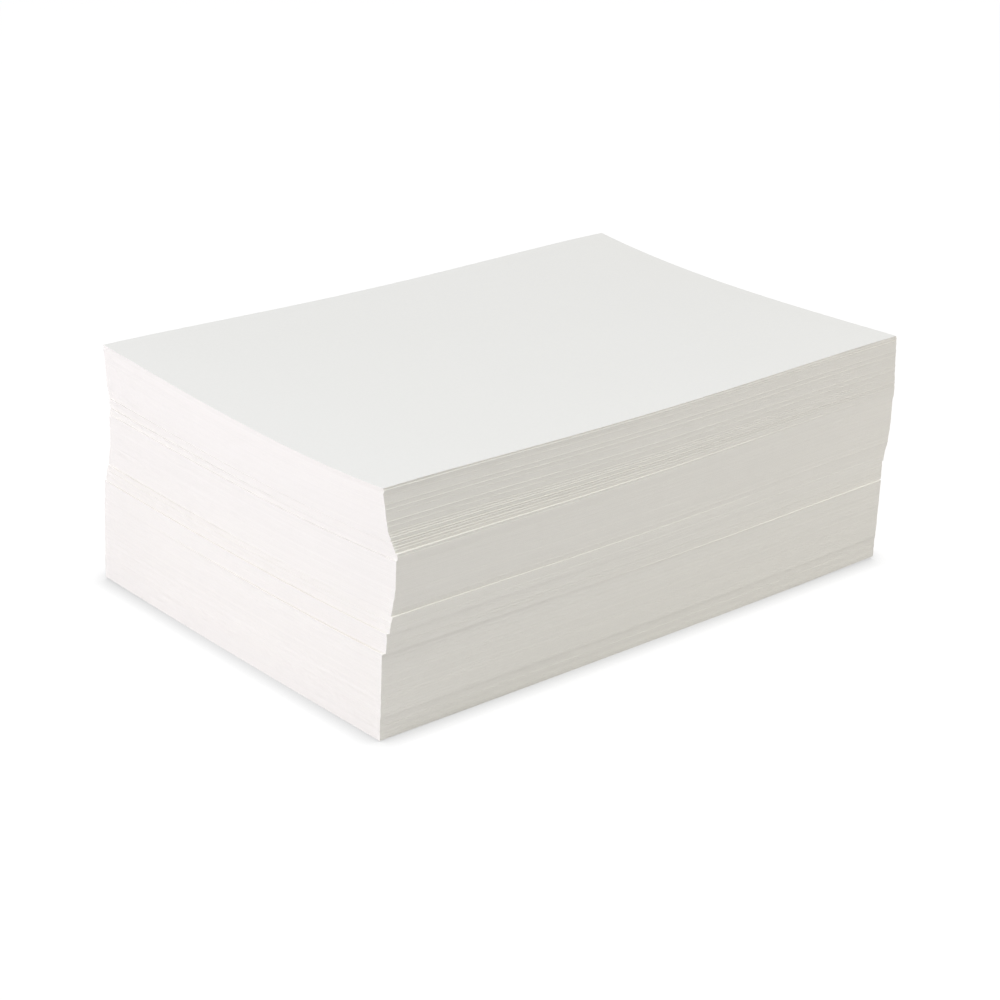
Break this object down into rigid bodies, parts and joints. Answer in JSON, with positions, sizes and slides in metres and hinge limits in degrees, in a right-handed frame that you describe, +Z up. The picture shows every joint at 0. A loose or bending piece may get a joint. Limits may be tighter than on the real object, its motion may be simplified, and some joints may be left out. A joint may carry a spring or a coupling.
{
  "type": "pack of watercolor paper",
  "caption": "Loose unwrapped stack of large white watercolor sheets; handfuls have slipped and turned on each other, and the edges curl up a little.",
  "frame": {"origin": "on the table, under the middle of the pack", "axes": "+X along the long edges, +Z up; the long front side faces -Y"},
  "size_m": [0.4661, 0.3131, 0.1701],
  "materials": {
    "paper": "matte cut edges of white cold-pressed paper",
    "top_sheet_paper": "matte white cold-pressed face with a fine tooth"
  },
  "bodies": {
    "root": {"foot_lift": "paper", "lower_lift_1": "paper", "lower_lift_2": "paper", "lower_lift_3": "paper", "waist_lift_1": "paper", "waist_lift_2": "paper", "waist_lift_3": "paper", "waist_lift_4": "paper", "step_lift_1": "paper", "step_lift_2": "paper", "step_lift_3": "paper", "middle_lift_1": "paper", "middle_lift_2": "paper", "middle_lift_3": "paper", "middle_lift_4": "paper", "plain_lift_1": "paper", "plain_lift_2": "paper", "ridge_lift_1": "paper", "ridge_lift_2": "paper", "fan_lift_1": "paper", "fan_lift_2": "paper", "fan_lift_3": "paper", "fan_lift_4": "paper", "fan_lift_5": "paper", "fan_lift_6": "paper", "fan_lift_7": "paper", "crown_lift_1": "paper", "crown_lift_2": "paper", "crown_lift_3": "paper", "crown_lift_4": "paper", "crown_lift_5": "paper", "crown_lift_6": "paper", "crown_lift_7": "paper", "cap_lift_1": "paper", "cap_lift_2": "paper", "top_sheet": "top_sheet_paper"}
  },
  "joints": []
}
